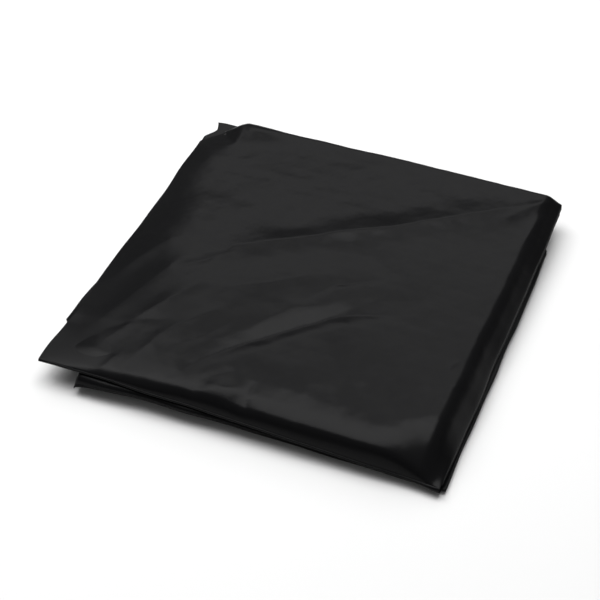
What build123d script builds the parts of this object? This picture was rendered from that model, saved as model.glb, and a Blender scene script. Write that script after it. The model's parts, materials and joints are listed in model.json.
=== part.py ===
"""A cover for a gas grill, folded flat into a packet, in millimetres.

The cover is a sewn box without a floor: a front and a back panel, a left and a right gusset and a
top panel. Laid flat with its gussets tucked in, it is folded across into quarters, and that long
strip is fan-folded into four leaves: base, second, third and top. X runs along a quarter's width,
Y from the front fold lines to the back ones, and Z up through the leaves. The origin is on the
floor under the middle of the packet.
"""

import os

from build123d import *

# ---------------------------------------------------------------- driving dimensions

COVER_WIDTH = 1450.0
COVER_DEPTH = 610.0
COVER_HEIGHT = 1170.0

PLY = 0.45             # one layer of coated cloth with the loft that it has when folded
LEAF_GAP = 0.6         # the air between two leaves
HINGE_CLEARANCE = 0.3  # from a fold line to the cloth on each side of it
FOLD_DEPTH = 9.0       # how far from a fold line a leaf starts to taper towards it

TAPE = 0.1             # thickness of seam and hem tape
TAPE_CLEARANCE = 0.05
SEAM_TAPE_WIDTH = 22.0
SEAM_TAPE_LAP = 5.0    # how much of its width lies on the panel below the top panel
HEM_WIDTH = 25.0

STRAP_WIDTH = 25.0
STRAP_LENGTH = 230.0
STRAP = 0.5
STRAP_CLEARANCE = 0.125
STRAP_FROM_HEM = 60.0
STRAP_FROM_SEAM = 12.0
PAD_LENGTH = 60.0
PAD = 0.25

LABEL_WIDTH = 45.0
LABEL_HEIGHT = 30.0
LABEL = 0.12
LABEL_FROM_SEAM = 90.0

# ---------------------------------------------------------------- sizes worked out from them

QUARTERS = 4
LEAVES = ("base", "second", "third", "top")

WIDTH = COVER_WIDTH / QUARTERS
LENGTH = (COVER_HEIGHT + COVER_DEPTH / 2) / len(LEAVES)
GUSSET_TUCK = COVER_DEPTH / 2
PLY_GAP = 2 * TAPE + TAPE_CLEARANCE            # between plies, with room for tape on both faces
TUCK_GAP = STRAP + 2 * PAD + STRAP_CLEARANCE   # inside a tucked gusset, where its strap lies

# A leaf's twelve plies from the floor up: F front panel, B back panel, L and R gussets.
PLY_ORDER = ("F", "L", "L", "B", "B", "F", "F", "B", "B", "R", "R", "F")
QUARTER_PLIES = ((0, 3), (4, 5), (6, 7), (8, 11))  # each quarter's lowest and highest ply


def ply_heights():
    """The height of each ply's middle above its leaf's underside."""
    heights = [PLY / 2]
    for below, above in zip(PLY_ORDER, PLY_ORDER[1:]):
        tucked = below == above and below in "LR"
        heights.append(heights[-1] + PLY + (TUCK_GAP if tucked else PLY_GAP))
    return heights


PLIES = ply_heights()
LEAF = PLIES[-1] + PLY / 2
PITCH = LEAF + LEAF_GAP

LEFT_EDGE = -WIDTH / 2 + PLY / 2
RIGHT_EDGE = WIDTH / 2 - PLY / 2
NESTED = PLY + PLY_GAP               # a fold lies this far inside the one around it
FREE_END = LENGTH / 2 - HINGE_CLEARANCE
FOLD_START = LENGTH / 2 - FOLD_DEPTH
CROWN_SEAM = FREE_END - COVER_DEPTH / 2
INSIDE = PLY / 2 + TAPE / 2          # from a ply's middle to the middle of tape on its face

# Which way a leaf's fold lines lie: (at the front, at the back), each None for a free end, or
# whether the fold line runs along the leaf's underside or its upper side.
FOLDS = {
    "base": ("upper", None),
    "second": ("under", "upper"),
    "third": ("upper", "under"),
    "top": ("under", None),
}


# ---------------------------------------------------------------- shapes

def block(x_range, y_range, z_range):
    """A box between the given limits."""
    low = (min(x_range), min(y_range), min(z_range))
    size = [max(r) - min(r) for r in (x_range, y_range, z_range)]
    return Pos(*low) * Box(*size, align=(Align.MIN, Align.MIN, Align.MIN))


def ribbon(path, thickness, y_range):
    """Cloth whose section follows a path of (x, z) corners, run along Y."""
    half = thickness / 2
    cloth = None
    for (x_a, z_a), (x_b, z_b) in zip(path, path[1:]):
        run = block(
            (min(x_a, x_b) - half, max(x_a, x_b) + half),
            y_range,
            (min(z_a, z_b) - half, max(z_a, z_b) + half),
        )
        cloth = run if cloth is None else cloth + run
    return cloth


def quartered(panel, inside, y_range, thickness):
    """The front or back panel folded into quarters, or tape at that distance on its inner face."""
    z_1, z_2, z_3, z_4 = (z for z, name in zip(PLIES, PLY_ORDER) if name == panel)
    front = panel == "F"
    left = LEFT_EDGE + (NESTED if front else 0) - (inside if front else -inside)
    right = RIGHT_EDGE - (0 if front else NESTED) - (inside if front else -inside)
    inward = inside if front else -inside
    start = LEFT_EDGE + (PLY / 2 + TAPE if inside else 0)
    path = [
        (start, z_1 + inward),
        (right, z_1 + inward),
        (right, z_2 - inward),
        (left, z_2 - inward),
        (left, z_3 + inward),
        (right, z_3 + inward),
        (right, z_4 - inward),
        (start, z_4 - inward),
    ]
    return ribbon(path, thickness, y_range)


def gusset(side, y_range):
    """A gusset folded in two inside its quarter, with both long edges turned to their panels."""
    z_1, z_2 = (z for z, name in zip(PLIES, PLY_ORDER) if name == side)
    deepest = LEFT_EDGE + GUSSET_TUCK
    reach = PLY / 2 + PLY_GAP
    cloth = ribbon(
        [(LEFT_EDGE, z_1), (deepest, z_1), (deepest, z_2), (LEFT_EDGE, z_2)], PLY, y_range
    )
    for low, high in ((z_1 - reach, z_1), (z_2, z_2 + reach)):
        cloth += block((LEFT_EDGE - PLY / 2, LEFT_EDGE + PLY / 2), y_range, (low, high))
    return cloth


def gusset_tape(side, y_range):
    """Tape on the inner face of a tucked gusset, which faces the panels."""
    z_1, z_2 = (z for z, name in zip(PLIES, PLY_ORDER) if name == side)
    start = LEFT_EDGE + PLY / 2 + TAPE
    deepest = LEFT_EDGE + GUSSET_TUCK + INSIDE
    path = [
        (start, z_1 - INSIDE),
        (deepest, z_1 - INSIDE),
        (deepest, z_2 + INSIDE),
        (start, z_2 + INSIDE),
    ]
    return ribbon(path, TAPE, y_range)


def fold_nose(back, upper):
    """The outer ply where it tapers to a fold line at the leaf's underside."""
    depth = FOLD_DEPTH - HINGE_CLEARANCE
    slope = LEAF / depth
    steep = PLY * (1 + slope ** 2) ** 0.5
    inner_tip = (PLY + steep) / slope
    outline = Polyline(
        (0, 0), (depth, LEAF), (depth, LEAF - steep), (inner_tip, PLY), (depth, PLY), (depth, 0),
        close=True,
    )
    nose = Pos(-WIDTH / 2, -FREE_END, 0) * extrude(Plane.YZ * make_face(outline), WIDTH)
    if upper:
        nose = Pos(0, 0, LEAF) * mirror(nose, Plane.XY)
    return mirror(nose, Plane.XZ) if back else nose


def crown_ridge():
    """The end of the top panel, where its front half turns over into its back half."""
    return [
        block(
            (-WIDTH / 2, WIDTH / 2),
            (FREE_END - PLY, FREE_END),
            (PLIES[first] - PLY / 2, PLIES[last] + PLY / 2),
        )
        for first, last in QUARTER_PLIES
    ]


# ---------------------------------------------------------------- one leaf's pieces

def leaf_span(leaf):
    """Where the flat plies of a leaf start and end along Y."""
    front, back = FOLDS[leaf]
    start = -FOLD_START if front else -FREE_END
    end = FOLD_START if back else FREE_END
    return (start, CROWN_SEAM) if leaf == "base" else (start, end)


def leaf_pieces(leaf):
    """The four cloth panels' stretches in one leaf, by node name."""
    span = leaf_span(leaf)
    front_panel = quartered("F", 0, span, PLY)
    for at_back, line in enumerate(FOLDS[leaf]):
        if line:
            front_panel += fold_nose(bool(at_back), (line == "upper") != flipped(leaf))
    return {
        f"front_panel_{leaf}_leaf": front_panel,
        f"back_panel_{leaf}_leaf": quartered("B", 0, span, PLY),
        f"left_gusset_{leaf}_leaf": gusset("L", span),
        f"right_gusset_{leaf}_leaf": gusset("R", span),
    }


def flipped(leaf):
    """Whether the fan fold has turned this leaf over."""
    return LEAVES.index(leaf) % 2 == 1


def placed(piece, leaf):
    """A piece drawn in its unturned leaf, turned over if the leaf is and lifted to its height."""
    if flipped(leaf):
        piece = Pos(0, 0, LEAF) * mirror(piece, Plane.XY)
    return Pos(0, 0, LEAVES.index(leaf) * PITCH) * piece


def crown_pieces():
    """The top panel and the tapes over its long seams, in the base leaf."""
    span = (CROWN_SEAM, FREE_END)
    tape_start = CROWN_SEAM - SEAM_TAPE_LAP
    tape_span = (tape_start, tape_start + SEAM_TAPE_WIDTH)
    top_panel = quartered("F", 0, span, PLY) + quartered("B", 0, span, PLY)
    top_panel += gusset("L", span) + gusset("R", span)
    for wall in crown_ridge():
        top_panel += wall
    return {
        "top_panel": top_panel,
        "front_seam_tape": quartered("F", INSIDE, tape_span, TAPE),
        "back_seam_tape": quartered("B", INSIDE, tape_span, TAPE),
    }


def hem_pieces():
    """The tapes that face the hem all round, and the blank label by it, in the top leaf."""
    span = (FREE_END - HEM_WIDTH, FREE_END)
    label_x = LEFT_EDGE + LABEL_FROM_SEAM
    label_end = FREE_END - HEM_WIDTH - TAPE
    label_z = PLIES[0] + PLY / 2
    return {
        "front_hem_tape": quartered("F", INSIDE, span, TAPE),
        "back_hem_tape": quartered("B", INSIDE, span, TAPE),
        "left_hem_tape": gusset_tape("L", span),
        "right_hem_tape": gusset_tape("R", span),
        "care_label": block(
            (label_x, label_x + LABEL_WIDTH),
            (label_end - LABEL_HEIGHT, label_end),
            (label_z, label_z + LABEL),
        ),
    }


def strap_pieces(hand, side):
    """One side's strap with its hook pad, and the loop pad sewn on the gusset's other half."""
    lower, upper = (z for z, name in zip(PLIES, PLY_ORDER) if name == side)
    floor = lower + PLY / 2
    ceiling = upper - PLY / 2
    start = LEFT_EDGE + STRAP_FROM_SEAM
    end = start + STRAP_LENGTH
    span = (FREE_END - STRAP_FROM_HEM - STRAP_WIDTH, FREE_END - STRAP_FROM_HEM)
    return {
        f"{hand}_strap": block((start, end), span, (floor, floor + STRAP)),
        f"{hand}_hook_pad": block(
            (end - PAD_LENGTH, end), span, (floor + STRAP, floor + STRAP + PAD)
        ),
        f"{hand}_loop_pad": block(
            (start, start + PAD_LENGTH), span, (ceiling - PAD, ceiling)
        ),
    }


# ---------------------------------------------------------------- the whole packet

def packet():
    """Every node of the folded cover, placed."""
    nodes = {}
    for leaf in LEAVES:
        pieces = leaf_pieces(leaf)
        if leaf == "base":
            pieces |= crown_pieces()
        if leaf == "top":
            pieces |= hem_pieces()
            pieces |= strap_pieces("left", "L")
            pieces |= strap_pieces("right", "R")
        nodes |= {name: placed(piece, leaf) for name, piece in pieces.items()}
    return nodes


os.makedirs("parts", exist_ok=True)
for node, solid in packet().items():
    export_step(solid, f"parts/{node}.step")
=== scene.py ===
"""A grill cover folded into a flat packet: four fan-folded leaves of coated cloth on a pale floor.

Every leaf holds the front panel, the back panel and two tucked gussets, each folded into quarters.
The third and top leaves make the upper bundle, the base and second leaves the lower one. Lengths
are in metres, X runs along the fold lines, Y from the front fold lines to the back, Z up.
"""

import json
import logging
import math
from collections.abc import Callable, Sequence
from dataclasses import dataclass
from enum import Enum

import bpy
import numpy as np
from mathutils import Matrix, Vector


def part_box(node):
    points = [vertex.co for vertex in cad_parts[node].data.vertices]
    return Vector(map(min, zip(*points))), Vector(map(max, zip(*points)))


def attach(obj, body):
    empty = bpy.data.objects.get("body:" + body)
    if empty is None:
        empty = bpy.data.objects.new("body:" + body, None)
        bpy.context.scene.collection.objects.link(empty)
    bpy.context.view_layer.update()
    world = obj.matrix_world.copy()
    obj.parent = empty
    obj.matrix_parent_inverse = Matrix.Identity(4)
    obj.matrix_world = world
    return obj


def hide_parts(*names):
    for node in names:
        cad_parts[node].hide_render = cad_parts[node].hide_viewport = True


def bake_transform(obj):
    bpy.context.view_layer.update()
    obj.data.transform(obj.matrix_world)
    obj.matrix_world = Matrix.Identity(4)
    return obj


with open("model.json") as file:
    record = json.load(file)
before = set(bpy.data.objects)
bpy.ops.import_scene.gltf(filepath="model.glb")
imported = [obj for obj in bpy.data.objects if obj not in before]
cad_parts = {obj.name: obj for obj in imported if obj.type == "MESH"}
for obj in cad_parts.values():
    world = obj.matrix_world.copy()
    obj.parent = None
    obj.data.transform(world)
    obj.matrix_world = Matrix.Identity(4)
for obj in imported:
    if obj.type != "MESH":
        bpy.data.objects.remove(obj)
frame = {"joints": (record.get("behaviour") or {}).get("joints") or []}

log = logging.getLogger("grill_cover")
MM = 0.001
TAU = 2 * math.pi
Profile = Callable[[np.ndarray], np.ndarray]


# ---- sizes read from the frame

LOW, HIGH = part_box("front_panel_top_leaf")
WIDTH = HIGH.x - LOW.x
LENGTH = HIGH.y - LOW.y
COVER_WIDTH = 4 * WIDTH
SEAM_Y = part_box("top_panel")[0].y
FOLD_HEIGHTS = {joint["name"]: joint["pos_m"][2] for joint in frame["joints"]}


def share_along(y: float) -> float:
    """A place along Y as a share of the packet's length, from 0 at the front."""
    return (y - LOW.y) / LENGTH


SEAM_SHARE = share_along(SEAM_Y)
SEAM_TAPE_SPAN = tuple(share_along(corner.y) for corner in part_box("front_seam_tape"))
HEM_TAPE_SPAN = (share_along(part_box("front_hem_tape")[0].y), 1.0)


class Leaf(Enum):
    """The four leaves, by the word that their nodes and bodies are named with."""

    BASE = "base"
    SECOND = "second"
    THIRD = "third"
    TOP = "top"

    @property
    def body(self) -> str:
        """The CAD body that this leaf's pieces ride on."""
        return f"{self.value}_leaf"

    @property
    def flipped(self) -> bool:
        """Whether the fan fold has turned this leaf over."""
        return self in (Leaf.SECOND, Leaf.TOP)


# ---- height fields


@dataclass(frozen=True)
class Ripple:
    """A seeded, smooth random field: a sum of plane waves about one wavelength."""

    seed: int  # seed of the random directions and phases
    wavelength: float  # typical distance between crests
    height: float  # typical height of a crest

    def at(self, x: np.ndarray, y: np.ndarray) -> np.ndarray:
        """The field's height at each point.

        Args:
            x, y: Places of the points, in metres.

        Returns:
            Heights, in the shape of x.
        """
        random = np.random.default_rng(self.seed)
        waves = 14
        total = np.zeros_like(x)
        for _ in range(waves):
            heading = random.uniform(0, TAU)
            count = TAU / (self.wavelength * random.uniform(0.7, 1.5))
            along = x * math.cos(heading) + y * math.sin(heading)
            total += np.sin(count * along + random.uniform(0, TAU))
        return total * self.height / math.sqrt(waves / 2)


@dataclass(frozen=True)
class Crease:
    """A ridge, or with a negative height a valley, along a line of points on the cloth."""

    line: Sequence[tuple[float, float]]  # points of the crest, in millimetres, in X and Y
    height: float  # height of the crest in millimetres
    ahead: float  # width of the slope on the line's left-hand side, in millimetres
    behind: float  # width of the slope on its right-hand side, in millimetres
    sharp: float = 0.3  # from 0, a round crest, to 1, a pressed edge

    def at(self, x: np.ndarray, y: np.ndarray) -> np.ndarray:
        """The crease's height at each point.

        Args:
            x, y: Places of the points, in metres.

        Returns:
            Heights in metres, in the shape of x.
        """
        points = np.array(self.line) * MM
        lengths = np.linalg.norm(np.diff(points, axis=0), axis=1)
        whole = lengths.sum()
        nearest = np.full(x.shape, np.inf)
        side = np.zeros_like(x)
        share = np.zeros_like(x)
        walked = 0.0
        for start, end, length in zip(points, points[1:], lengths):
            way = (end - start) / length
            along = np.clip((x - start[0]) * way[0] + (y - start[1]) * way[1], 0, length)
            off_x = x - start[0] - along * way[0]
            off_y = y - start[1] - along * way[1]
            distance = np.hypot(off_x, off_y)
            closer = distance < nearest
            nearest = np.where(closer, distance, nearest)
            side = np.where(closer, way[0] * off_y - way[1] * off_x, side)
            share = np.where(closer, (walked + along) / whole, share)
            walked += length
        reach = np.where(side > 0, self.ahead, self.behind) * MM
        t = nearest / reach
        round_crest = np.exp(-t * t)
        pressed = np.exp(-1.6 * t)
        dying_ends = np.sin(math.pi * np.clip(share, 0.02, 0.98)) ** 0.6
        profile = self.sharp * pressed + (1 - self.sharp) * round_crest
        return self.height * MM * dying_ends * profile


@dataclass(frozen=True)
class Mound:
    """A soft oval swelling, or with a negative height a hollow."""

    centre: tuple[float, float]  # its middle, in millimetres
    size: tuple[float, float]  # half widths along and across it, in millimetres
    turn: float  # direction of its long side, in degrees from X
    height: float  # height in millimetres

    def at(self, x: np.ndarray, y: np.ndarray) -> np.ndarray:
        """The mound's height at each point.

        Args:
            x, y: Places of the points, in metres.

        Returns:
            Heights in metres, in the shape of x.
        """
        turn = math.radians(self.turn)
        off_x = x / MM - self.centre[0]
        off_y = y / MM - self.centre[1]
        along = (off_x * math.cos(turn) + off_y * math.sin(turn)) / self.size[0]
        across = (off_y * math.cos(turn) - off_x * math.sin(turn)) / self.size[1]
        return self.height * MM * np.exp(-along * along - across * across)


def dying(distance: np.ndarray, reach: float) -> np.ndarray:
    """1 at no distance, dying away with it over a reach in millimetres."""
    return np.exp(-distance / (reach * MM))


def eased(t: np.ndarray) -> np.ndarray:
    """A smooth step from 0 to 1 as t goes from 0 to 1."""
    t = np.clip(t, 0, 1)
    return t * t * (3 - 2 * t)


def arched(t: np.ndarray) -> np.ndarray:
    """A quarter of a sine wave, which rises at a slope from 0 and levels at 1."""
    return np.sin(np.clip(t, 0, 1) * math.pi / 2)


def sloped(t: np.ndarray) -> np.ndarray:
    """A straight slope for the first four tenths, which then rounds off and levels at 1."""
    t = np.clip(t, 0, 1)
    return np.where(t < 0.4, t / 0.7, 1 - (1 - t) ** 2 / 0.84)


def rolled(t: np.ndarray) -> np.ndarray:
    """A quarter round, a little squared, that rises steeply from 0 and levels at 1."""
    t = np.clip(t, 0, 1)
    return (1 - (1 - t) ** 2.4) ** (1 / 2.4)


@dataclass(frozen=True)
class Sides:
    """One length for each side, in millimetres, of which those at the left and right may vary."""

    left: float | np.ndarray
    right: float | np.ndarray
    front: float
    back: float


@dataclass(frozen=True)
class Corners:
    """One height for each corner, in millimetres, with a straight edge between all but the front."""

    front_left: float
    front_right: float
    back_left: float
    back_right: float
    front_bow: float  # how far the front bows up between its corners
    bow_lean: float  # 1 puts the top of the bow in the middle, and less puts it further left

    def at(self, a: np.ndarray, b: np.ndarray) -> np.ndarray:
        """The height between the corners.

        Args:
            a, b: Shares of the width from the left and of the length from the front.

        Returns:
            Heights in metres.
        """
        leaned = a**self.bow_lean
        bow = self.front_bow * 4 * leaned * (1 - leaned)
        front = self.front_left * (1 - a) + self.front_right * a + bow
        back = self.back_left * (1 - a) + self.back_right * a
        return (front * (1 - b) + back * b) * MM


@dataclass(frozen=True)
class CutCorner:
    """A corner that the cloth doesn't fill: its outline runs straight between two points."""

    start: tuple[float, float]  # one end of the straight outline, in millimetres
    end: tuple[float, float]  # its other end, so that the corner lies on the line's left-hand side
    depth: float  # how far in from the line the cloth is drawn in, in millimetres

    def drawn_in(self, x: np.ndarray, y: np.ndarray) -> tuple[np.ndarray, np.ndarray]:
        """The points with those past the line drawn in to it.

        Args:
            x, y: Places of the points, in metres.

        Returns:
            Their new X and Y.
        """
        start, end = np.array(self.start) * MM, np.array(self.end) * MM
        length = np.linalg.norm(end - start)
        way = (end - start) / length
        along = ((x - start[0]) * way[0] + (y - start[1]) * way[1]) / length
        off = way[0] * (y - start[1]) - way[1] * (x - start[0])
        corner = abs(way[0] * way[1]) * length
        outline = corner * np.clip(1 - np.abs(2 * along - 1), 0, 1)
        depth = self.depth * MM
        inner = np.clip(off, -depth, None) + depth
        shift = inner * depth / (depth + outline) - inner
        return x - way[1] * shift, y + way[0] * shift


@dataclass(frozen=True)
class Pinch:
    """A corner drawn down to a tip, as a pillow's is."""

    tip: tuple[float, float]  # where its tip lies, in millimetres
    reach: float  # how far from the tip the cloth is back at its full height, in millimetres

    def at(self, x: np.ndarray, y: np.ndarray) -> np.ndarray:
        """The share of its height that the cloth keeps at each point, given in metres."""
        distance = np.hypot(x / MM - self.tip[0], y / MM - self.tip[1])
        return arched(distance / self.reach)


@dataclass(frozen=True)
class Flap:
    """A stretch of the left edge that leans out past the rest, in millimetres."""

    line: Sequence[tuple[float, float]]  # places along Y, and how far it leans out at each
    reach: float = 14.0  # how far in from the edge that dies away

    def lean_at(self, x: np.ndarray, y: np.ndarray) -> np.ndarray:
        """How far the flap leans out to the left at each point, in metres."""
        lean = np.interp(y / MM, *zip(*self.line)) * MM
        return lean * dying(np.clip(x - LOW.x, 0, None), self.reach)


@dataclass(frozen=True)
class Bundle:
    """Two leaves that share an outline and close to one edge all round."""

    reach: Sides  # how far its sides lie from the packet's middle, in millimetres
    edge: Corners  # height of its closed edge at the corners
    skew: float  # how much further its front reaches on the left than on the right, in millimetres
    wander: float  # how far its outline strays from straight, in millimetres
    seed: int  # seed of that
    pinch: Pinch | None = None  # a corner of it that is drawn down

    def plan(self, a: np.ndarray, b: np.ndarray) -> tuple[np.ndarray, np.ndarray]:
        """Where a share a across and b from the front lies in plan.

        Args:
            a, b: Shares of the width from the left and of the length from the front.

        Returns:
            X and Y in metres.
        """
        x = (-self.reach.left + (self.reach.left + self.reach.right) * a) * MM
        y = (-self.reach.front + (self.reach.front + self.reach.back) * b) * MM
        y = y - self.skew * MM * (1 - a) * (1 - b)
        drift = Ripple(self.seed, 90 * MM, self.wander * MM)
        rim = 0.1             # the share of the width and length over which the drift dies away
        left, right, front, back = (np.exp(-share / rim) for share in (a, 1 - a, b, 1 - b))
        drift_x = drift.at(x, y) * (left + right * 0.5)
        drift_y = drift.at(y + 1, x) * (front * 0.5 + back * 0.3)
        return x + drift_x, y + drift_y

    def face(
        self,
        a: np.ndarray,
        b: np.ndarray,
        height: float | np.ndarray,
        radii: Sides,
        left: Profile = eased,
        right: Profile = eased,
        ends: Profile = eased,
    ) -> np.ndarray:
        """A face that starts at the closed edge and comes to another height inside.

        Args:
            a, b: Shares of the width and the length.
            height: Its height inside, in metres.
            radii: How far in from each side it gets there.
            left, right, ends: How it gets there from each, over a share of that from 0 to 1.

        Returns:
            Heights in metres.
        """
        across = self.reach.left + self.reach.right
        along = self.reach.front + self.reach.back
        rise = (
            left(a * across / radii.left)
            * right((1 - a) * across / radii.right)
            * ends(b * along / radii.front)
            * ends((1 - b) * along / radii.back)
        )
        if self.pinch:
            rise = rise * self.pinch.at(*self.plan(a, b))
        edge = self.edge.at(a, b)
        return edge + (height - edge) * rise


UPPER = Bundle(
    reach=Sides(left=181.3, right=181.3, front=184.4, back=184.4),
    edge=Corners(front_left=24, front_right=8, back_left=30, back_right=25, front_bow=3, bow_lean=1),
    skew=0.0,
    wander=1.0,
    seed=3,
    pinch=Pinch((181, -186), 62),
)
LOWER = Bundle(
    reach=Sides(left=149.0, right=183.5, front=179.0, back=182.0),
    edge=Corners(front_left=8, front_right=3, back_left=9, back_right=12, front_bow=7, bow_lean=0.5),
    skew=10.0,
    wander=1.0,
    seed=5,
)

CREASES = (
    Crease([(-95, -38), (-79, -4), (49, 77), (176, 177)], 3.9, 19, 14, 0.45),
    Crease([(-120, -50), (-95, -28), (-70, -2)], -0.9, 5, 8, 0.6),
    Crease([(-62, -167), (-36, -131), (5, -88), (44, -51), (88, -34)], -3.0, 13, 9, 0.5),
    Crease([(9, -46), (25, -19), (60, 2)], -1.0, 8, 4, 0.6),
    Crease([(-168, -160), (-140, -90), (-108, -15)], 1.4, 12, 16, 0.35),
    Crease([(-150, -170), (-118, -110), (-80, -50)], 1.2, 9, 7, 0.4),
    Crease([(-110, -172), (-86, -120), (-52, -78)], 1.0, 8, 6, 0.4),
    Crease([(-176, -88), (-158, -40), (-136, -8)], 1.2, 8, 8, 0.5),
    Crease([(-44, -184), (-31, -163), (-14, -146)], -1.2, 10, 6, 0.4),
    Crease([(12, -186), (4, -170), (6, -152)], -1.2, 9, 5, 0.5),
    Crease([(-131, -186), (-122, -172), (-118, -160)], 1.5, 5, 5, 0.5),
    Crease([(-150, -140), (-120, -118), (-96, -112)], -0.9, 9, 6, 0.5),
    Crease([(-90, -150), (-60, -124), (-40, -96)], -0.9, 8, 6, 0.5),
    Crease([(-70, -60), (-30, -40), (14, -6)], 1.0, 10, 9, 0.5),
    Crease([(-30, -110), (0, -60), (40, -40)], 0.8, 9, 12, 0.4),
    Crease([(150, -78), (156, -64)], 0.5, 3, 3, 0.6),
    Crease([(158, -100), (166, -90)], 0.5, 3, 3, 0.6),
    Crease([(-10, 20), (40, 30), (90, 10)], -0.7, 12, 14, 0.3),
    Crease([(30, -60), (70, -20), (120, 0)], -0.8, 12, 12, 0.3),
    Crease([(178, 180), (160, 160), (130, 120)], 1.4, 7, 6, 0.4),
    Crease([(180, 172), (168, 140), (162, 96)], 1.4, 7, 6, 0.4),
)
MOUNDS = (
    Mound((-128, 172), (26, 11), 0, 3.4),
    Mound((-181, -186), (95, 60), 60, -1.5),
    Mound((70, 176), (150, 50), 0, 2.0),
    Mound((-165, -22), (50, 34), 75, 3.4),
    Mound((-60, -60), (90, 50), 35, 1.4),
    Mound((60, 20), (120, 70), 40, 1.2),
    Mound((-150, 70), (60, 30), 80, -1.8),
    Mound((-14, -170), (18, 9), 10, 2.4),
    Mound((150, -150), (30, 40), 60, 1.2),
)
TOP_RIPPLES = (
    Ripple(11, 95 * MM, 0.36 * MM),
    Ripple(12, 42 * MM, 0.09 * MM),
    Ripple(13, 19 * MM, 0.06 * MM),
    Ripple(14, 9 * MM, 0.018 * MM),
)
INNER_RIPPLES = (Ripple(21, 110 * MM, 0.3 * MM), Ripple(22, 45 * MM, 0.09 * MM))

LEAF_HALF = 1.1           # half the thickness that a leaf closes to at its front, in millimetres
LEAF_FULLER = (0.6, 1.8, 1.2)    # how much more it is at the left, the right and the back
FULLER_REACH = 12.0       # how far in from each side that dies away
BUNDLE_GAP = 0.4 * MM     # from the joint between the two bundles up to the upper one's underside
UNDERSIDE_FULLNESS = 1.4  # how many half thicknesses that underside lies below the closed edge
FLOOR_GAP = 0.2 * MM      # from the floor to the packet's underside


def half_edge(a: np.ndarray, b: np.ndarray) -> np.ndarray:
    """Half the thickness in metres of one leaf's plies where they close."""
    sides = zip(LEAF_FULLER, (a * WIDTH, (1 - a) * WIDTH, (1 - b) * LENGTH))
    return (LEAF_HALF + sum(more * dying(place, FULLER_REACH) for more, place in sides)) * MM


def ruffled(x: np.ndarray, y: np.ndarray, shapes: Sequence[Ripple | Crease | Mound]) -> np.ndarray:
    """The sum of several shapes' heights at each point."""
    return sum(shape.at(x, y) for shape in shapes)


CROWN_LEVEL = 34.2        # height that the rest of the crown is added to, in millimetres
CROWN_DOME = 6.4          # how much higher it is in the middle
CROWN_SAG = 4.0           # how much lower it is at the front right
SHOULDER = 5.6            # how much lower it is along the front, over the reach
SHOULDER_FALL = 4.4       # how much lower still that is at the right end
SHOULDER_REACH = 10.0
BACK_RIM = 2.2            # how much higher it is along the back, over the reach
BACK_RIM_REACH = 11.0


def top_surface(a: np.ndarray, b: np.ndarray) -> np.ndarray:
    """Height of the packet's crowned top.

    Args:
        a, b: Shares of the width and the length.

    Returns:
        Heights in metres.
    """
    dome = CROWN_DOME * np.sqrt((1 - (2 * a - 1) ** 2) * (1 - (2 * b - 1) ** 2) + 0.01)
    sag = CROWN_SAG * a**3 * (1 - 0.5 * b)
    shoulder = (SHOULDER + SHOULDER_FALL * a) * dying(b * LENGTH, SHOULDER_REACH)
    rim = BACK_RIM * dying((1 - b) * LENGTH, BACK_RIM_REACH)
    shapes = ruffled(*UPPER.plan(a, b), (*TOP_RIPPLES, *CREASES, *MOUNDS))
    crown = (CROWN_LEVEL + dome - sag - shoulder + rim) * MM + shapes
    sides = Sides(left=32 + 130 * (1 - b) ** 2, right=22 - 5 * b, front=8, back=7)
    return half_edge(a, b) + UPPER.face(a, b, crown, sides, arched, sloped, rolled)


def fold_surface(a: np.ndarray, b: np.ndarray) -> np.ndarray:
    """Height of the face between the third and the top leaf."""
    middle = FOLD_HEIGHTS["upper_front_fold"] + ruffled(*UPPER.plan(a, b), INNER_RIPPLES)
    return UPPER.face(a, b, middle, Sides(left=46, right=34, front=26, back=30))


def upper_floor(a: np.ndarray, b: np.ndarray) -> np.ndarray:
    """Height of the upper bundle's underside."""
    middle, sides = FOLD_HEIGHTS["back_fold"] + BUNDLE_GAP, Sides(46, 36, 36, 36)
    return UPPER.face(a, b, middle, sides) - half_edge(a, b) * UNDERSIDE_FULLNESS


def lower_ceiling(a: np.ndarray, b: np.ndarray) -> np.ndarray:
    """Height of the lower bundle's upper side, which follows what lies on it.

    Args:
        a, b: Shares of the width and the length.

    Returns:
        Heights in metres.
    """
    x, y = LOWER.plan(a, b)
    upper_a = np.clip((x / MM + UPPER.reach.left) / (2 * UPPER.reach.left), 0, 1)
    upper_b = np.clip((y / MM + UPPER.reach.front) / (2 * UPPER.reach.front), 0, 1)
    full = half_edge(a, b)
    under = upper_floor(upper_a, upper_b) - 2 * BUNDLE_GAP - full
    sides = Sides(left=6, right=20, front=9, back=20)
    return full + LOWER.face(a, b, under, sides, rolled, arched, rolled)


def lower_fold(a: np.ndarray, b: np.ndarray) -> np.ndarray:
    """Height of the face between the base and the second leaf."""
    middle = np.minimum(FOLD_HEIGHTS["lower_front_fold"], lower_ceiling(a, b) * 0.5)
    return LOWER.face(a, b, middle, Sides(left=30, right=26, front=24, back=26))


def lower_floor(a: np.ndarray, b: np.ndarray) -> np.ndarray:
    """Height of the packet's underside, flat on the floor but for its rim."""
    full = np.minimum(half_edge(a, b), LOWER.edge.at(a, b) * 0.4)
    return LOWER.face(a, b, FLOOR_GAP + full, Sides(left=22, right=16, front=16, back=18)) - full


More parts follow.
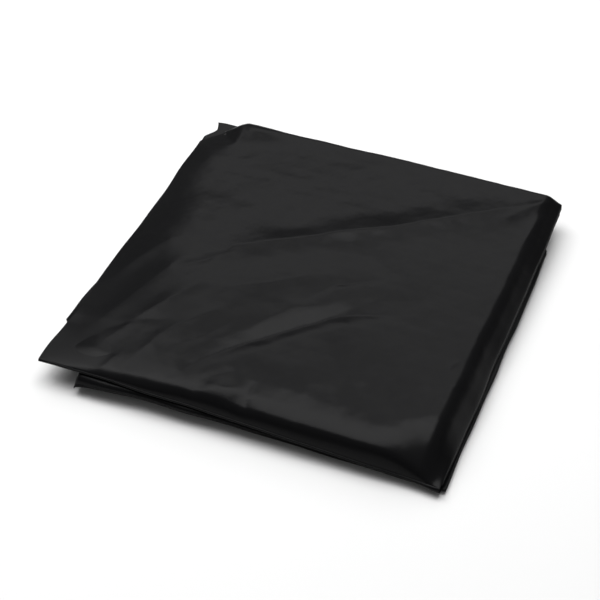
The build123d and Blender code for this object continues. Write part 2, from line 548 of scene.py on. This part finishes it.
BOUNDS = {
    Leaf.BASE: (LOWER, lower_floor, lower_fold),
    Leaf.SECOND: (LOWER, lower_fold, lower_ceiling),
    Leaf.THIRD: (UPPER, upper_floor, fold_surface),
    Leaf.TOP: (UPPER, fold_surface, top_surface),
}
CUT_CORNERS = {
    Leaf.BASE: CutCorner((150, 184), (185, 133), 30),
    Leaf.SECOND: CutCorner((150, 184), (185, 133), 30),
    Leaf.THIRD: CutCorner((-182, 158), (-171, 185), 24),
    Leaf.TOP: CutCorner((-182, 147), (-147, 185), 60),
}
FLAP_DROOP = 0.6          # how far a flap hangs down for each unit that it leans out
FLAPS = {
    Leaf.THIRD: Flap([(-136, 0), (-127, 9), (-100, 5), (-74, 0)]),
    Leaf.TOP: Flap([(-150, 0), (-136, 1.5), (-110, -1.5), (-60, 0)]),
}
LEAF_GAP = 0.25 * MM      # from a leaf to the face that it shares with the next


# ---- plies


@dataclass(frozen=True)
class Path:
    """A cloth's way across its leaf: shares of the width, and levels from 0 to 1."""

    a: np.ndarray
    level: np.ndarray


PLY = 1 / 11              # from one of a leaf's twelve plies to the next, as a level
PLY_LEVELS = {
    "front": (0.0, 5 * PLY, 6 * PLY, 1.0),
    "back": (3 * PLY, 4 * PLY, 7 * PLY, 8 * PLY),
    "left": (PLY, 2 * PLY),
    "right": (9 * PLY, 10 * PLY),
}
TURN_STEPS = 9            # points round a fold at the right side, which shows
HIDDEN_TURN_STEPS = 5     # points round a fold at the left side
GUSSET_TURN_STEPS = 4     # points round a gusset's tuck
WIDE_TURN = 3.0 * MM / WIDTH     # how far the outer of two folds at one side bulges
TIGHT_TURN = 1.0 * MM / WIDTH    # how far the inner one does
GUSSET_TURN = 1.5 * MM / WIDTH   # how far a gusset's tuck bulges
GUSSET_EDGE = 0.004       # share of the width where a gusset leaves the cover's edge
GUSSET_TUCK = 0.84        # share of the width where it turns back


def half_turn(at: float, bulge: float, start: float, end: float, steps: int) -> Path:
    """A fold at one side, from one level to another.

    Args:
        at: Share of the width where the fold starts.
        bulge: How far it reaches outwards, as a share of the width, signed.
        start, end: Levels of the plies before and after it.
        steps: How many points it takes.

    Returns:
        The fold's points without its two ends.
    """
    turn = np.linspace(-math.pi / 2, math.pi / 2, steps + 2)[1:-1]
    a = at + bulge * np.cos(turn)
    level = (start + end) / 2 + (end - start) / 2 * np.sin(turn)
    return Path(a, level)


def run(start: float, end: float, level: float, steps: int) -> Path:
    """A flat stretch from one share of the width to another."""
    return Path(np.linspace(start, end, steps), np.full(steps, level))


def joined(*parts: Path) -> Path:
    """Several stretches as one path."""
    return Path(
        np.concatenate([part.a for part in parts]),
        np.concatenate([part.level for part in parts]),
    )


def panel_path(panel: str, fine: int, coarse: int, inward: float = 0.0) -> Path:
    """The quartered front or back panel's way across a leaf that isn't turned over.

    Args:
        panel: "front" or "back".
        fine: Points across its first and last plies, which can show.
        coarse: Points across each other ply.
        inward: How far inside the panel the path lies, as a level, which tape on it does.

    Returns:
        The path, from the cover's left edge to its right edge.
    """
    outer = panel == "front"
    shift = inward if outer else -inward
    first, second, third, fourth = (
        level + sign * shift for level, sign in zip(PLY_LEVELS[panel], (1, -1, 1, -1))
    )
    right_bulge, left_bulge = (WIDE_TURN, TIGHT_TURN) if outer else (TIGHT_TURN, WIDE_TURN)
    right = 1 - WIDE_TURN * (1 if outer else 2)
    left = WIDE_TURN * (2 if outer else 1)
    return joined(
        run(0, right, first, fine),
        half_turn(right, right_bulge, first, second, TURN_STEPS),
        run(right, left, second, coarse),
        half_turn(left, -left_bulge, second, third, HIDDEN_TURN_STEPS),
        run(left, right, third, coarse),
        half_turn(right, right_bulge, third, fourth, TURN_STEPS),
        run(right, 0, fourth, fine),
    )


def gusset_path(side: str, coarse: int, inward: float = 0.0) -> Path:
    """A tucked gusset's way in from the cover's edge and back.

    Args:
        side: "left" or "right".
        coarse: Points across each of its two plies.
        inward: How far inside the gusset the path lies, as a level.

    Returns:
        The path.
    """
    lower, upper = PLY_LEVELS[side]
    lower, upper = lower - inward, upper + inward
    return joined(
        run(GUSSET_EDGE, GUSSET_TUCK, lower, coarse),
        half_turn(GUSSET_TUCK, GUSSET_TURN, lower, upper, GUSSET_TURN_STEPS),
        run(GUSSET_TUCK, GUSSET_EDGE, upper, coarse),
    )


def grid_mesh(name: str, points: np.ndarray) -> bpy.types.Object:
    """A smooth mesh from a grid of points.

    Args:
        name: The piece's name, which gets "_piece" after it.
        points: Rows by columns by three, in metres.

    Returns:
        The mesh object, in the scene.
    """
    rows, columns = points.shape[:2]
    index = np.arange(rows * columns).reshape(rows, columns)
    faces = np.stack(
        [index[:-1, :-1], index[:-1, 1:], index[1:, 1:], index[1:, :-1]], axis=-1
    ).reshape(-1, 4)
    mesh = bpy.data.meshes.new(name + "_piece")
    mesh.from_pydata(points.reshape(-1, 3).tolist(), [], faces.tolist())
    mesh.shade_smooth()
    piece = bpy.data.objects.new(name + "_piece", mesh)
    bpy.context.scene.collection.objects.link(piece)
    return piece


@dataclass(frozen=True)
class LeafShape:
    """One leaf's body of cloth, as a place for every share across, share along and level."""

    leaf: Leaf

    def level(self, level: np.ndarray) -> np.ndarray:
        """A level counted from the floor, whichever way up the leaf lies."""
        return 1 - level if self.leaf.flipped else level

    def at(self, a: np.ndarray, b: np.ndarray, level: np.ndarray) -> np.ndarray:
        """The points at these shares and levels.

        Args:
            a: Shares of the width, a little past 0 or 1 in a fold's bulge.
            b: Shares of the length.
            level: Levels from 0, the leaf's underside, to 1, its upper side.

        Returns:
            Points, with a last axis of three.
        """
        bundle, under, over = BOUNDS[self.leaf]
        inside_a = np.clip(a, 0, 1)
        inside_b = np.clip(b, 0, 1)
        low = under(inside_a, inside_b) + LEAF_GAP
        high = over(inside_a, inside_b) - (0 if self.leaf is Leaf.TOP else LEAF_GAP)
        x, y = CUT_CORNERS[self.leaf].drawn_in(*bundle.plan(a, b))
        z = low + (high - low) * level
        if self.leaf in FLAPS:
            lean = FLAPS[self.leaf].lean_at(x, y)
            x, z = x - lean, z - np.abs(lean) * FLAP_DROOP
        return np.stack([x, y, z], axis=-1)


PLY_INSET = 1.5 * MM      # how far in from a fold line a leaf's outermost ply ends
NEST_DEPTH = 6 * MM       # how much further in its innermost ply ends
FREE_INSET = 1.2 * MM     # how far in the plies end where there is no fold line
FREE_STRAY = 0.8 * MM     # how far they stray from that


def nested_ends(leaf: Leaf, level: np.ndarray) -> tuple[np.ndarray, np.ndarray]:
    """How far in from the front and back each ply of a leaf ends, in metres.

    Args:
        leaf: The leaf.
        level: Levels of the plies, from the leaf's underside up.

    Returns:
        The inset at the front and the inset at the back.
    """
    front = PLY_INSET + NEST_DEPTH * (1 - level if leaf.flipped else level)
    if leaf is Leaf.SECOND:
        back = PLY_INSET + NEST_DEPTH * level
    elif leaf is Leaf.THIRD:
        back = PLY_INSET + NEST_DEPTH * (1 - level)
    else:
        back = FREE_INSET + FREE_STRAY * np.sin(level * 31.0 + 1.0)
    return front, back


ROLL = 10 * MM            # how much of the outer ply beside a fold line is the fold's own piece
ROLL_STEPS = 20           # points across it, closer together towards the edge
UNDER_ROLL = 8 * MM       # the same on the ply that it turns over into
ROLL_BULGE = 2.4 * MM     # how far the cloth between the two plies bulges at most
BACK_SOFTNESS = 7 * MM    # the height over which the back fold passes from one leaf to the other
FOLD_LENGTHS = (0.0, 0.03, 0.12, 0.28, 0.46, 0.64, 0.82, 1.0)   # ends of a front fold's lengths


@dataclass(frozen=True)
class Fold:
    """A fold line between two leaves, where the outer ply of one turns over into the other's."""

    joint: str  # the joint's name, which is the piece's too
    over: Leaf  # the leaf above
    under: Leaf  # the leaf below
    at_back: bool  # whether it is at the back


FOLDS = (
    Fold("lower_front_fold", Leaf.SECOND, Leaf.BASE, False),
    Fold("back_fold", Leaf.THIRD, Leaf.SECOND, True),
    Fold("upper_front_fold", Leaf.TOP, Leaf.THIRD, False),
)


def is_rolled(path: Path, at_back: bool) -> np.ndarray:
    """Which points of the front panel's path are on the ply that turns over a fold."""
    _, second, third, _ = PLY_LEVELS["front"]
    return path.level > third + PLY / 100 if at_back else path.level < second - PLY / 100


def roll_at(leaf: Leaf, at_back: bool) -> float:
    """How much of a leaf's outer ply a fold takes.

    Args:
        leaf: The leaf.
        at_back: Whether the fold is at its back or at its front.

    Returns:
        The length taken in metres, or 0 where there is no fold.
    """
    for fold in FOLDS:
        if fold.at_back == at_back and leaf in (fold.over, fold.under):
            return ROLL if leaf is fold.over else UNDER_ROLL
    return 0.0


def ply_sheet(
    name: str,
    shape: LeafShape,
    path: Path,
    rows: int,
    span: tuple[float, float] = (0.0, 1.0),
    outer: bool = False,
) -> bpy.types.Object:
    """One panel's stretch in a leaf.

    Args:
        name: The piece's name.
        shape: The leaf that it lies in.
        path: Its way across the leaf.
        rows: Points along Y.
        span: The shares of the length where it starts and ends.
        outer: Whether its outermost ply runs into the folds' own pieces.

    Returns:
        The sheet.
    """
    level = shape.level(path.level)
    insets = list(nested_ends(shape.leaf, level))
    past_hinge = LOW.y - BOUNDS[shape.leaf][0].plan(path.a, np.zeros_like(path.a))[1]
    insets[0] = insets[0] + np.clip(past_hinge, 0, None)
    for at_back in (False, True):
        roll = roll_at(shape.leaf, at_back)
        if outer and roll:
            insets[at_back] = np.where(is_rolled(path, at_back), roll, insets[at_back])
    start = np.maximum(insets[0] / LENGTH, span[0])
    end = np.minimum(1 - insets[1] / LENGTH, span[1])
    share = np.linspace(0, 1, rows)[:, None]
    b = start + (end - start) * share
    a = np.broadcast_to(path.a, b.shape)
    return grid_mesh(name, shape.at(a, b, np.broadcast_to(level, b.shape)))


def turned_over(
    first: np.ndarray, last: np.ndarray, bulge: np.ndarray, steps: int
) -> list[np.ndarray]:
    """The round turn of the cloth from one row of points to another.

    Args:
        first, last: The rows on either side of it.
        bulge: How far it bulges along Y at each point of a row.
        steps: How many rows it has.

    Returns:
        Its rows.
    """
    middle, arm = (first + last) / 2, (first - last) / 2
    rows = []
    for turn in np.linspace(0, math.pi, steps + 2)[1:-1]:
        row = middle + arm * math.cos(turn)
        row[:, 1] += bulge * math.sin(turn)
        rows.append(row)
    return rows


def fold_sheets(
    fold: Fold, path: Path
) -> list[tuple[bpy.types.Object, tuple[float, float]]]:
    """The stretch of the front panel that turns over a fold line, from one leaf into the other.

    A front fold's line bows, and a front fold comes in several lengths which meet at their ends.

    Args:
        fold: The fold.
        path: The front panel's way across a leaf.

    Returns:
        The sheets from left to right, which have no parent yet, each with its flat size.
    """
    rolled_points = is_rolled(path, fold.at_back)
    a, level = path.a[rolled_points], path.level[rolled_points]
    sides = []
    for leaf, roll in ((fold.over, ROLL), (fold.under, UNDER_ROLL)):
        shape = LeafShape(leaf)
        b = roll / LENGTH * (1 - np.linspace(0, 1, ROLL_STEPS))[:, None] ** 2
        b = np.broadcast_to(1 - b if fold.at_back else b, (ROLL_STEPS, len(a)))
        grid_a = np.broadcast_to(a, b.shape)
        sides.append(shape.at(grid_a, b, np.broadcast_to(shape.level(level), b.shape)))
    over, under = sides
    half_gap = np.linalg.norm((over[-1] - under[-1]) / 2, axis=1)
    bulge = np.minimum(half_gap, ROLL_BULGE) * (1 if fold.at_back else -1)
    bend = turned_over(over[-1], under[-1], bulge, 9)
    points = np.concatenate([over, bend, under[::-1]])
    if fold.at_back:
        sheet = grid_mesh(f"{fold.joint}_cloth", points)
        heights = (FOLD_HEIGHTS[fold.joint] + BACK_SOFTNESS * lift for lift in (-0.5, 0.5))
        start, end = ((0, LENGTH / 2, height) for height in heights)
        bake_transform(sheet)
        return [(sheet, flat_size(points))]
    nearest = np.argmin(np.abs(a[:, None] - np.array(FOLD_LENGTHS)), axis=0)
    sheets = []
    for number, (first, last) in enumerate(zip(nearest, nearest[1:]), start=1):
        sheet = grid_mesh(f"{fold.joint}_cloth_{number}", points[:, first : last + 1])
        bend_along(sheet)
        sheets.append((sheet, flat_size(points[:, first : last + 1])))
    return sheets


def flat_size(points: np.ndarray) -> tuple[float, float]:
    """The size of a sheet laid flat, measured along its middle row and column.

    Args:
        points: Its grid of points.

    Returns:
        Its width and length.
    """
    row, column = points[len(points) // 2], points[:, points.shape[1] // 2]
    width, length = (np.linalg.norm(np.diff(line, axis=0), axis=1).sum() for line in (row, column))
    return float(width), float(length)


def bend_along(piece: bpy.types.Object) -> None:
    """Bakes a length of a front fold's sheet where it lies.

    Args:
        piece: Its sheet.
    """
    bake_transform(piece)


# ---- finishes


def linear(hex_colour: str) -> tuple[float, float, float, float]:
    """Turns an sRGB colour into linear light.

    Args:
        hex_colour: The colour, as "#rrggbb".

    Returns:
        Red, green, blue and an alpha of 1.
    """
    channels = [int(hex_colour[i : i + 2], 16) / 255 for i in (1, 3, 5)]
    light = [c / 12.92 if c <= 0.04045 else ((c + 0.055) / 1.055) ** 2.4 for c in channels]
    return (*light, 1.0)


def add_node(
    tree: bpy.types.NodeTree, kind: str, settings: dict | None = None, links: dict | None = None
) -> bpy.types.Node:
    """Adds a shader node.

    Args:
        tree: The node tree.
        kind: Blender's name of the node type.
        settings: Attributes, and input values by socket name.
        links: Sockets that feed its inputs, by input name.

    Returns:
        The node.
    """
    node = tree.nodes.new(kind)
    for name, value in (settings or {}).items():
        if name in node.inputs:
            node.inputs[name].default_value = value
        else:
            setattr(node, name, value)
    for name, socket in (links or {}).items():
        tree.links.new(socket, node.inputs[name])
    return node


BANDS_PER_UNIT = 3.2      # bands of a wave texture in one unit of length, at a scale of 1


@dataclass(frozen=True)
class CoatedPolyester:
    """Black polyester with a polyurethane coating: a satin skin over a fine plain weave.

    The coating gives the eye broad soft highlights, and the weave and crumple break them up.
    """

    colour: str = "#0b0b0c"
    roughness: float = 0.28
    specular: float = 0.075
    crumple: float = 14 * MM
    crumple_height: float = 0.5 * MM
    weave: float = 1.1 * MM      # coarsened from about 0.3 mm, which is finer than a view shows
    weave_height: float = 0.06 * MM
    bump: float = 0.25

    def build(self) -> bpy.types.Material:
        """Builds the material, with its weave and fine crumple as bump.

        Returns:
            The material.
        """
        material = bpy.data.materials.new("coated_polyester_satin_black")
        material.use_nodes = True
        tree = material.node_tree
        tree.nodes.clear()
        place = add_node(tree, "ShaderNodeTexCoord").outputs["Object"]
        size = {"Scale": 1 / self.crumple, "Detail": 5.0, "Roughness": 0.55}
        crumple = add_node(tree, "ShaderNodeTexNoise", size, {"Vector": place})
        size = {"Scale": 1 / (self.weave * BANDS_PER_UNIT), "Distortion": 0.6, "Detail": 1.0}
        warp, weft = (
            add_node(tree, "ShaderNodeTexWave", {"bands_direction": way, **size}, {"Vector": place})
            for way in ("X", "Y")
        )
        threads = {0: warp.outputs["Fac"], 1: weft.outputs["Fac"]}
        weave = add_node(tree, "ShaderNodeMath", {"operation": "MULTIPLY"}, threads)
        heights = (crumple.outputs["Fac"], weave.outputs[0])
        normal = {}
        for height, depth in zip(heights, (self.crumple_height, self.weave_height)):
            size = {"Strength": self.bump, "Distance": depth}
            bump = add_node(tree, "ShaderNodeBump", size, {"Height": height, **normal})
            normal = {"Normal": bump.outputs["Normal"]}
        looks = {
            "Base Color": linear(self.colour),
            "Roughness": self.roughness,
            "IOR": 1.48,
            "Specular IOR Level": self.specular,
        }
        surface = add_node(tree, "ShaderNodeBsdfPrincipled", looks, normal)
        add_node(tree, "ShaderNodeOutputMaterial", None, {"Surface": surface.outputs["BSDF"]})
        return material


@dataclass(frozen=True)
class PlainFinish:
    """A plain finish, whose roughness alone sets how matte the eye finds it."""

    name: str
    colour: str
    roughness: float

    def build(self) -> bpy.types.Material:
        """Builds the material.

        Returns:
            The material.
        """
        material = bpy.data.materials.new(self.name)
        material.use_nodes = True
        surface = material.node_tree.nodes["Principled BSDF"]
        surface.inputs["Base Color"].default_value = linear(self.colour)
        surface.inputs["Roughness"].default_value = self.roughness
        return material


# ---- the cover


TAPE_INWARD = 0.5 * PLY   # how far inside its panel tape lies
FINE = 230                # points across a ply, or along it, that shows from close by
MEDIUM = 100              # the same on a ply of which only the rim shows
COARSE = 60               # the same on a hidden ply


@dataclass(frozen=True)
class Wardrobe:
    """The cover's finishes, by their slot in the record."""

    finishes: dict[str, bpy.types.Material]

    @classmethod
    def cut(cls) -> "Wardrobe":
        """Makes every finish.

        Returns:
            The wardrobe that holds them.
        """
        return cls(
            {
                "coated_cloth": CoatedPolyester().build(),
                # duller than the cloth, so that a hem stands out from it
                "binding_tape": PlainFinish("woven_polyester_tape", "#161617", 0.7).build(),
                "webbing": PlainFinish("woven_polypropylene_webbing", "#141415", 0.75).build(),
                # the dullest black, as a brushed pile is
                "hook_and_loop": PlainFinish("nylon_pile", "#0f0f10", 0.95).build(),
                # the one pale piece, with a slight sheen
                "label_cloth": PlainFinish("satin_ribbon", "#d9d8d2", 0.5).build(),
            }
        )

    def dress(self, piece: bpy.types.Object, slot: str, leaf: Leaf | None = None) -> None:
        """Gives a piece its finish, and its leaf and the CAD node of its name if it has one.

        Args:
            piece: The piece.
            slot: Its slot in the record.
            leaf: The leaf that it rides on, or None for a piece that turns over from one leaf into
                another, which is left unattached.
        """
        piece.data.materials.append(self.finishes[slot])
        if leaf is not None:
            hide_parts(piece.name.removesuffix("_piece"))
            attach(piece, leaf.body)
        log.info("built %s", piece.name)


@dataclass(frozen=True)
class LeafPanels:
    """The four panels' stretches in one leaf."""

    wardrobe: Wardrobe
    leaf: Leaf
    gusset_width: float = 0.61  # the cover's depth, across which a gusset runs in and back

    def build(self) -> None:
        """Builds and dresses the four sheets."""
        fine = FINE if self.leaf is Leaf.TOP else MEDIUM
        end = SEAM_SHARE if self.leaf is Leaf.BASE else 1.0
        panels = {
            "front_panel": (panel_path("front", fine, COARSE), COVER_WIDTH),
            "back_panel": (panel_path("back", COARSE, COARSE), COVER_WIDTH),
            "left_gusset": (gusset_path("left", COARSE), self.gusset_width),
            "right_gusset": (gusset_path("right", COARSE), self.gusset_width),
        }
        for panel, (path, width) in panels.items():
            outer = panel == "front_panel"
            piece = ply_sheet(
                f"{panel}_{self.leaf.value}_leaf",
                LeafShape(self.leaf),
                path,
                fine if outer else COARSE,
                (0.0, end),
                outer,
            )
            self.wardrobe.dress(piece, "coated_cloth", self.leaf)


@dataclass(frozen=True)
class FoldWraps:
    """The stretches of the front panel that turn over the three fold lines."""

    wardrobe: Wardrobe

    def build(self) -> None:
        """Builds and dresses the sheets of every fold."""
        path = panel_path("front", FINE, COARSE)
        for fold in FOLDS:
            for piece, flat in fold_sheets(fold, path):
                self.wardrobe.dress(piece, "coated_cloth")


@dataclass(frozen=True)
class TopPanel:
    """The cover's top panel and the tapes over its seams, all in the base leaf."""

    wardrobe: Wardrobe
    rows: int = 80  # points along Y in each half of the panel
    columns: int = 90  # points across each of its plies that can show
    ridge_inset: float = 2.0 * MM  # how far in from the back each half ends
    ridge_bulge: float = 1.4 * MM  # how far the ridge between them bulges
    tape_rows: int = 5  # points along Y in a tape

    def build(self) -> None:
        """Builds and dresses the panel and its tapes."""
        top_panel = self.panel()
        self.wardrobe.dress(top_panel, "coated_cloth", Leaf.BASE)
        tapes = [self.tape(panel) for panel in ("front", "back")]

    def panel(self) -> bpy.types.Object:
        """Builds the panel's front half and back half, joined over a ridge at the back.

        Returns:
            The sheet.
        """
        shape = LeafShape(Leaf.BASE)
        halves = []
        for panel in ("front", "back"):
            path = panel_path(panel, self.columns, COARSE)
            b = np.linspace(SEAM_SHARE, 1 - self.ridge_inset / LENGTH, self.rows)[:, None]
            b = np.broadcast_to(b, (self.rows, len(path.a)))
            a = np.broadcast_to(path.a, b.shape)
            halves.append(shape.at(a, b, np.broadcast_to(path.level, b.shape)))
        front, back = halves
        bulge = np.full(front.shape[1], self.ridge_bulge)
        ridge = turned_over(front[-1], back[-1], bulge, 5)
        return grid_mesh("top_panel", np.concatenate([front, ridge, back[::-1]]))

    def tape(self, panel: str) -> bpy.types.Object:
        """Builds and dresses the tape over one long seam.

        Args:
            panel: "front" or "back", for the panel that the seam joins.

        Returns:
            The tape.
        """
        path = panel_path(panel, COARSE, COARSE, TAPE_INWARD)
        shape = LeafShape(Leaf.BASE)
        tape = ply_sheet(f"{panel}_seam_tape", shape, path, self.tape_rows, SEAM_TAPE_SPAN)
        self.wardrobe.dress(tape, "binding_tape", Leaf.BASE)
        return tape


@dataclass(frozen=True)
class HemTrim:
    """The hem tapes, straps, hook and loop pads and care label, all inside the top leaf."""

    wardrobe: Wardrobe
    rows: int = 24  # points along Y in each piece
    columns: int = 40  # points across a strip
    webbing: float = 0.5 * MM  # thickness of a strap
    pile: float = 0.25 * MM  # thickness of a pad
    ribbon: float = 0.12 * MM  # thickness of the label

    def build(self) -> None:
        """Builds and dresses every piece at the hem."""
        self.tapes()
        for hand in ("left", "right"):
            ply = PLY_LEVELS[hand][0]
            self.strip(f"{hand}_strap", "webbing", ply + 0.35 * PLY, self.webbing)
            self.strip(f"{hand}_hook_pad", "hook_and_loop", ply + 0.6 * PLY, self.pile)
            self.strip(f"{hand}_loop_pad", "hook_and_loop", ply + 0.85 * PLY, self.pile)
        self.strip("care_label", "label_cloth", 0.6 * PLY, self.ribbon)

    def tapes(self) -> None:
        """Builds and dresses the four panels' hem tapes."""
        paths = {
            "front": panel_path("front", FINE, COARSE, TAPE_INWARD),
            "back": panel_path("back", COARSE, COARSE, TAPE_INWARD),
            "left": gusset_path("left", COARSE, TAPE_INWARD),
            "right": gusset_path("right", COARSE, TAPE_INWARD),
        }
        for panel, path in paths.items():
            name = f"{panel}_hem_tape"
            tape = ply_sheet(name, LeafShape(Leaf.TOP), path, self.rows, HEM_TAPE_SPAN)
            self.wardrobe.dress(tape, "binding_tape", Leaf.TOP)

    def strip(self, node: str, slot: str, level: float, thickness: float) -> None:
        """Builds and dresses a flat strip that lies between two plies.

        Args:
            node: The CAD node that it stands for, whose place it takes.
            slot: Its slot in the record.
            level: Its level in an unturned leaf.
            thickness: Its thickness.
        """
        low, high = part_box(node)
        left, right = ((corner.x - LOW.x) / WIDTH for corner in (low, high))
        front, back = (share_along(corner.y) for corner in (low, high))
        path = run(left, right, level, self.columns)
        piece = ply_sheet(node, LeafShape(Leaf.TOP), path, self.rows, (front, back))
        body = piece.modifiers.new("thickness", "SOLIDIFY")
        body.thickness = thickness
        body.offset = 0
        self.wardrobe.dress(piece, slot, Leaf.TOP)


# ---- the studio


def build_floor() -> None:
    """The pale floor that the cover lies on."""
    bpy.ops.mesh.primitive_plane_add(size=12, location=(0, 0, 0))
    floor = bpy.context.active_object
    floor.name = "floor"
    material = PlainFinish("matte_white_floor", "#d6d6d6", 0.9).build()
    floor.data.materials.append(material)


@dataclass(frozen=True)
class Softbox:
    """A rectangular studio lamp."""

    name: str
    place: tuple[float, float, float]  # where it hangs, in metres
    size: tuple[float, float]  # its width and height
    power: float  # in watts

    def build(self) -> None:
        """Hangs the lamp, facing the packet."""
        lamp = bpy.data.lights.new(self.name, "AREA")
        lamp.shape = "RECTANGLE"
        lamp.size, lamp.size_y = self.size
        lamp.energy = self.power
        holder = bpy.data.objects.new(self.name, lamp)
        bpy.context.scene.collection.objects.link(holder)
        holder.location = self.place
        holder.rotation_euler = (-Vector(self.place)).to_track_quat("-Z", "Y").to_euler()


SKY_HORIZON = 0.09        # brightness of the room up to 14 degrees above the floor
SKY_ABOVE = 0.27          # brightness from 30 degrees up


def build_sky() -> None:
    """The room round the packet: dim near the floor's horizon, brighter above it."""
    world = bpy.data.worlds.new("studio")
    bpy.context.scene.world = world
    world.use_nodes = True
    tree = world.node_tree
    place = add_node(tree, "ShaderNodeTexCoord").outputs["Generated"]
    rise = add_node(tree, "ShaderNodeSeparateXYZ", None, {"Vector": place}).outputs["Z"]
    ramp = add_node(tree, "ShaderNodeValToRGB", None, {"Fac": rise}).color_ramp
    for element, height, light in zip(ramp.elements, (0.25, 0.50), (SKY_HORIZON, SKY_ABOVE)):
        element.position = height
        element.color = (light, light, light, 1)
    colour = tree.nodes["Color Ramp"].outputs["Color"]
    tree.links.new(colour, tree.nodes["Background"].inputs["Color"])


def build_studio() -> None:
    """The floor, lamps, world and camera."""
    build_floor()
    for lamp in (
        Softbox("overhead_softbox", (-0.20, 0.20, 2.4), (2.6, 1.7), 76),
        Softbox("back_softbox", (-0.52, 1.80, 1.62), (1.9, 1.0), 12),
        Softbox("left_softbox", (-1.50, 0.50, 2.05), (1.5, 1.0), 17),
    ):
        lamp.build()
    build_sky()
    build_camera(azimuth=21.9, elevation=42.0, distance=1.47, target=(-0.0128, -0.0055, 0.0))
    bpy.context.scene.view_settings.view_transform = "Standard"


def build_camera(
    azimuth: float, elevation: float, distance: float, target: tuple[float, float, float]
) -> None:
    """The camera, looking down at the packet's front right corner.

    Args:
        azimuth: Degrees round from the front towards the right.
        elevation: Degrees above the floor.
        distance: From the target, in metres.
        target: The point that it looks at.
    """
    turn, tilt = math.radians(azimuth), math.radians(elevation)
    back = Vector(
        (math.sin(turn) * math.cos(tilt), -math.cos(turn) * math.cos(tilt), math.sin(tilt))
    )
    data = bpy.data.cameras.new("camera")
    data.sensor_width = 36.0
    data.lens = 96.0
    camera = bpy.data.objects.new("camera", data)
    bpy.context.scene.collection.objects.link(camera)
    camera.location = Vector(target) + back * distance
    camera.rotation_euler = (-back).to_track_quat("-Z", "Y").to_euler()
    bpy.context.scene.camera = camera


def main() -> None:
    """Builds the cover and its studio."""
    logging.basicConfig(level=logging.INFO)
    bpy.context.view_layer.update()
    wardrobe = Wardrobe.cut()
    for leaf in Leaf:
        LeafPanels(wardrobe, leaf).build()
        log.info("built the panels in the %s leaf", leaf.value)
    FoldWraps(wardrobe).build()
    log.info("built the cloth over the fold lines")
    TopPanel(wardrobe).build()
    log.info("built the top panel and its seam tapes")
    HemTrim(wardrobe).build()
    log.info("built the hem tapes, straps, pads and label")
    build_studio()


if __name__ == "__main__":
    main()
